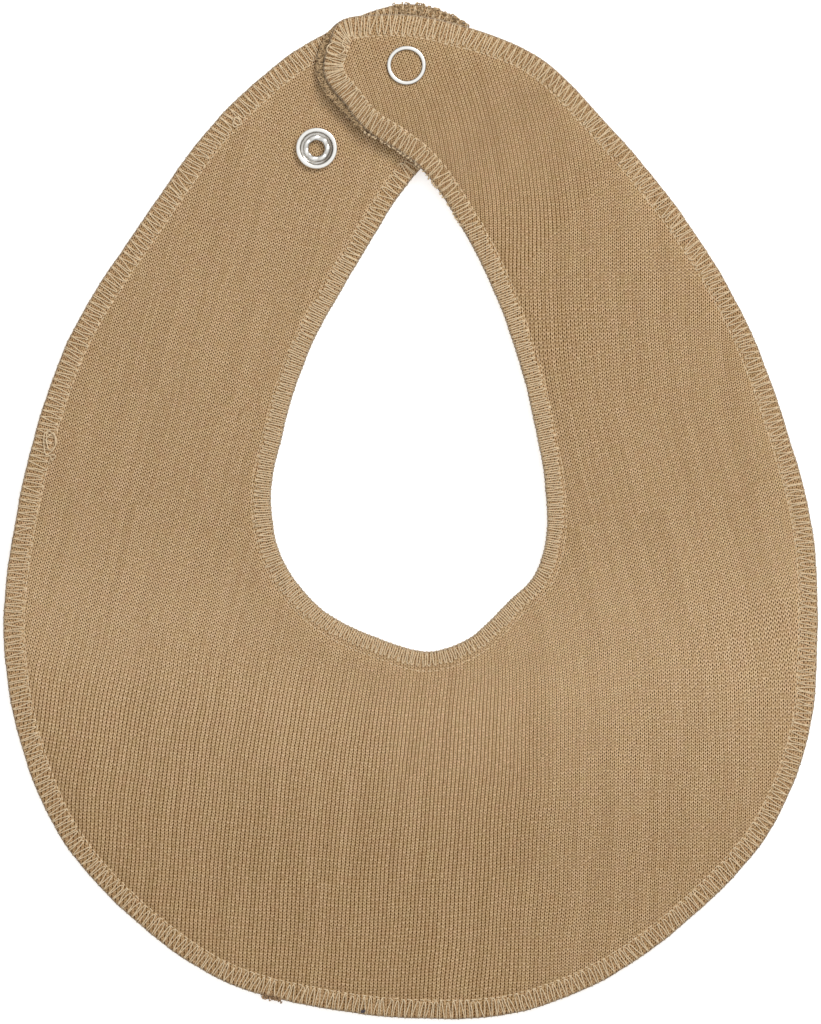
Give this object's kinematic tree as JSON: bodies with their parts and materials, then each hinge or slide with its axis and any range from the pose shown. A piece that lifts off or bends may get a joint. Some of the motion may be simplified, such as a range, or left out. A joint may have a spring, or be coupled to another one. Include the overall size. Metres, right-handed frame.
{
  "type": "infant bib",
  "caption": "Rounded infant bib, knitted cotton face over looped backing, overlocked edges, arms overlapping behind the neck and closed by a ring snap with a spare socket.",
  "frame": {"origin": "centre of the laid-out bib's outline, on the plane it lies on", "axes": "+X across the bib to the side of the overlapping arm, +Y from the apron's hem towards the snaps, +Z out of the jersey face"},
  "size_m": [0.204, 0.2543, 0.0072],
  "materials": {
    "jersey": "fine interlock knit cotton, undyed tan",
    "looped_cotton": "soft looped cotton knit, loops outward",
    "sewing_thread": "spun cotton sewing thread",
    "nickel": "bright nickel plate on pressed brass"
  },
  "bodies": {
    "apron": {"front_apron": "jersey", "back_apron": "looped_cotton", "upper_looper_apron": "sewing_thread", "upper_looper_apron_neck": "sewing_thread", "lower_looper_apron": "sewing_thread", "lower_looper_apron_neck": "sewing_thread", "needle_thread_apron": "sewing_thread", "needle_thread_apron_neck": "sewing_thread"},
    "collar": {"front_left_arm": "jersey", "front_right_arm": "jersey", "back_left_arm": "looped_cotton", "back_right_arm": "looped_cotton", "upper_looper_left_arm": "sewing_thread", "upper_looper_right_arm": "sewing_thread", "upper_looper_right_neck": "sewing_thread", "lower_looper_left_arm": "sewing_thread", "lower_looper_right_arm": "sewing_thread", "lower_looper_right_neck": "sewing_thread", "needle_thread_left_arm": "sewing_thread", "needle_thread_right_arm": "sewing_thread", "needle_thread_right_neck": "sewing_thread", "near_socket": "nickel", "near_socket_spring": "nickel", "near_prong_ring": "nickel", "far_socket": "nickel", "far_socket_spring": "nickel", "far_prong_ring": "nickel"},
    "flap": {"front_flap": "jersey", "back_flap": "looped_cotton", "upper_looper_flap": "sewing_thread", "lower_looper_flap": "sewing_thread", "needle_thread_flap": "sewing_thread", "flap_prong_ring": "nickel", "stud": "nickel"}
  },
  "joints": [
    {"name": "collar_fold", "type": "hinge", "parent": "apron", "child": "collar", "pos_m": [0, 0.02, 0.00115], "axis": [1, 0, 0], "range_deg": [-120, 120]},
    {"name": "flap_lift", "type": "hinge", "parent": "collar", "child": "flap", "pos_m": [0.03, 0.0885, 0.00245], "axis": [0.7071, 0.7071, 0], "range_deg": [0, 150], "deforming": ["near_socket_spring"]}
  ]
}
